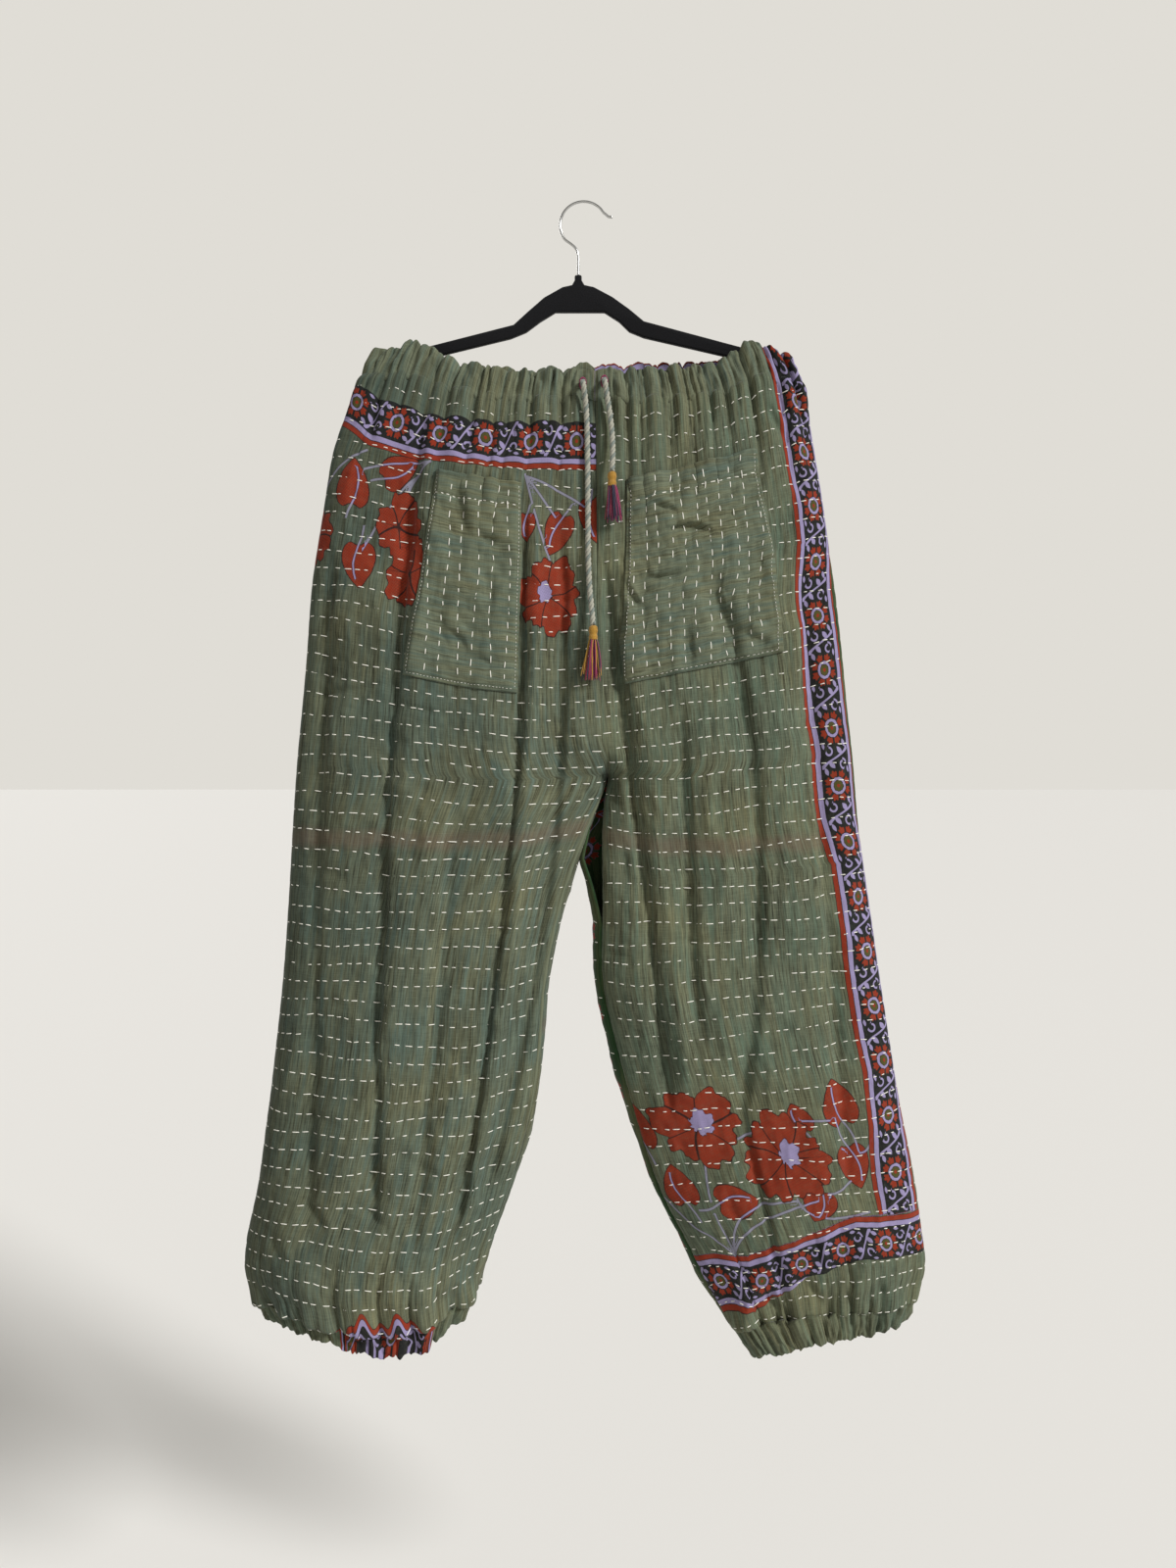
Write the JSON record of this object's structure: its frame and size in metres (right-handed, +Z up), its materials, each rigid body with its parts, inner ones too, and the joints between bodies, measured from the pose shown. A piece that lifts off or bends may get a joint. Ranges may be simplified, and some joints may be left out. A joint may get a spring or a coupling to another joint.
{
  "type": "drawstring joggers on a hanger",
  "caption": "Wide-leg quilted cotton joggers with a gathered elastic waist, patch pockets, drawstring and gathered ankles, hung on a thin velvet hanger.",
  "frame": {"origin": "the bearing point inside the top of the hanger's hook, where a peg or rail holds it", "axes": "+X the wearer's left (the picture's right), +Y towards the garment's back, +Z up"},
  "size_m": [0.6468, 0.0929, 1.1088],
  "materials": {
    "sage_cotton": "soft washed sage green cotton, two layers, hand quilted in off-white thread, with printed borders and flower sprays",
    "dark_print_cotton": "soft washed dark green cotton with a rust and lavender print, hand quilted",
    "cord_yarn": "twisted two-tone cotton cord",
    "tassel_thread": "wound and cut cotton thread",
    "black_velvet": "flocked black velvet",
    "steel_wire": "bright bent wire"
  },
  "bodies": {
    "root": {"front_panel_right": "sage_cotton", "front_panel_left": "sage_cotton", "back_panel_right": "sage_cotton", "back_panel_left": "dark_print_cotton", "waist_casing_front": "sage_cotton", "waist_casing_back": "sage_cotton", "hem_casing_right": "sage_cotton", "hem_casing_left": "sage_cotton", "pocket_right": "sage_cotton", "pocket_left": "sage_cotton", "drawstring_right": "cord_yarn", "drawstring_left": "cord_yarn", "tassel_right": "tassel_thread", "tassel_left": "tassel_thread", "hanger_body": "black_velvet", "hanger_hook": "steel_wire"}
  },
  "joints": []
}
